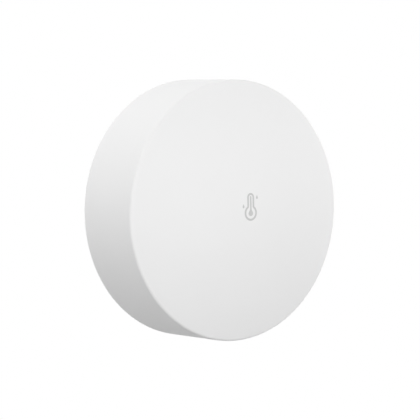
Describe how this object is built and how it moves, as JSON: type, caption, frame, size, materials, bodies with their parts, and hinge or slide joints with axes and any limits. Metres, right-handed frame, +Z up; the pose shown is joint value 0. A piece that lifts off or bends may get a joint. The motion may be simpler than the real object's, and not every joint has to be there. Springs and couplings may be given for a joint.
{
  "type": "temperature humidity sensor",
  "caption": "Round white wall-mounted temperature and humidity sensor: domed face with a thermometer symbol, coin-cell inside, twist-lock rear cover with adhesive pad and a side reset button.",
  "frame": {"origin": "centre of the adhesive pad's rear face, in the plane of the wall, on the axis of the round housing", "axes": "+Z up with the symbol upright, -Y out of the wall along the axis of the housing, +X to the right of a viewer who faces the dome"},
  "size_m": [0.043, 0.0177, 0.043],
  "materials": {
    "housing_white": "white plastic with a fine satin texture",
    "cover_white": "white plastic, matt",
    "pad_foam": "closed-cell adhesive foam",
    "tray_black": "black plastic, matt",
    "board_green": "glass-fibre board with green solder mask",
    "chip_black": "black moulding compound",
    "tin_metal": "bright sheet metal",
    "contact_metal": "nickel-plated spring strip",
    "ceramic_tan": "fired ceramic",
    "ceramic_white": "fired ceramic, pale",
    "lamp_resin": "cast resin",
    "seal_black": "moulded sealing ring",
    "button_white": "white plastic, satin"
  },
  "bodies": {
    "base": {"rear_cover": "cover_white", "adhesive_pad": "pad_foam"},
    "sensor_body": {"front_housing": "housing_white", "battery_tray": "tray_black", "main_board": "board_green", "radio_chip": "chip_black", "crystal": "tin_metal", "humidity_sensor": "chip_black", "chip_antenna": "ceramic_white", "status_led": "lamp_resin", "chip_capacitors": "ceramic_tan", "chip_resistors": "chip_black", "negative_contact": "contact_metal", "positive_contact": "contact_metal", "cell_can": "tin_metal", "cell_cap": "tin_metal", "cell_seal": "seal_black", "tray_screws": "tin_metal", "switch_base": "chip_black", "switch_cover": "tin_metal"},
    "button": {"switch_plunger": "button_white", "reset_button": "button_white"}
  },
  "joints": [
    {"name": "twist_lock", "type": "hinge", "parent": "base", "child": "sensor_body", "pos_m": [0, -0.008, 0], "axis": [0, -1, 0], "range_deg": [0, 30]},
    {"name": "reset_press", "type": "slide", "parent": "sensor_body", "child": "button", "axis": [-1, 0, 0], "range_m": [0, 0.00025], "stiffness_N_per_m": 5000}
  ]
}
